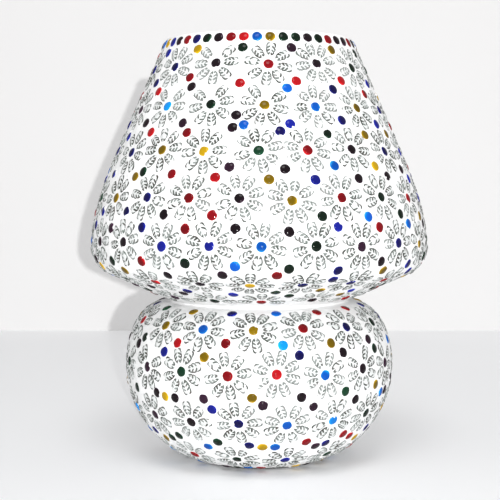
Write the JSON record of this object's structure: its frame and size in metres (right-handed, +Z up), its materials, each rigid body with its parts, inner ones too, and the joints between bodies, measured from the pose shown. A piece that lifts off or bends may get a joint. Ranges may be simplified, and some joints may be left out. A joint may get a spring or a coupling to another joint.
{
  "type": "table lamp",
  "caption": "Table lamp with a one-piece blown glass body, wide shade over a squat base, covered in white grout, glass leaves and coloured dots.",
  "frame": {"origin": "centre of the foot on the table, under the middle of the lamp", "axes": "+Z up through the rim, -Y towards the front, the cord inlet at +Y"},
  "size_m": [0.2042, 0.2051, 0.254],
  "materials": {
    "clear_glass": "gloss",
    "white_grout": "matte",
    "leaf_glass": "gloss",
    "ruby_glass": "gloss",
    "cobalt_glass": "gloss",
    "sky_blue_glass": "gloss",
    "amber_glass": "gloss",
    "bottle_green_glass": "gloss",
    "aubergine_glass": "gloss",
    "grey_rubber": "matte",
    "black_rubber": "matte",
    "brass": "satin",
    "zinc_steel": "satin",
    "ivory_plastic": "gloss",
    "white_porcelain": "gloss",
    "cap_aluminium": "satin",
    "black_insulator": "gloss",
    "solder": "satin",
    "bulb_glass": "gloss",
    "tungsten": "satin"
  },
  "bodies": {
    "lamp": {"glass_body": "clear_glass", "grout_coat": "white_grout", "shade_leaf_chips": "leaf_glass", "base_leaf_chips": "leaf_glass", "ruby_dots": "ruby_glass", "cobalt_dots": "cobalt_glass", "sky_blue_dots": "sky_blue_glass", "amber_dots": "amber_glass", "bottle_green_dots": "bottle_green_glass", "aubergine_dots": "aubergine_glass", "foot_ring": "grey_rubber", "cord_grommet": "black_rubber", "stem_tube": "brass", "bottom_nut": "zinc_steel", "bottom_washer": "zinc_steel", "bottom_gasket": "grey_rubber", "floor_gasket": "grey_rubber", "floor_washer": "zinc_steel", "floor_nut": "zinc_steel", "holder_lock_nut": "zinc_steel", "holder_cap": "ivory_plastic", "holder_shell": "ivory_plastic", "holder_collar": "ivory_plastic", "holder_insulator": "white_porcelain", "thread_sleeve": "brass", "side_contact": "brass", "terminal_screws": "zinc_steel", "contact_rivet": "brass", "grub_screw": "zinc_steel"},
    "bulb": {"bulb_cap": "cap_aluminium", "bulb_insulator": "black_insulator", "bulb_tip": "solder", "bulb_envelope": "bulb_glass", "bulb_stem": "bulb_glass", "filament_wires": "zinc_steel", "filament": "tungsten"},
    "contact": {"centre_contact": "brass"}
  },
  "joints": [
    {"name": "bulb_lift", "type": "slide", "parent": "lamp", "child": "bulb", "axis": [0, 0, 1], "range_m": [0, 0.16]},
    {"name": "contact_press", "type": "slide", "parent": "lamp", "child": "contact", "axis": [0, 0, 1], "range_m": [-0.001, 0], "stiffness_N_per_m": 900}
  ]
}
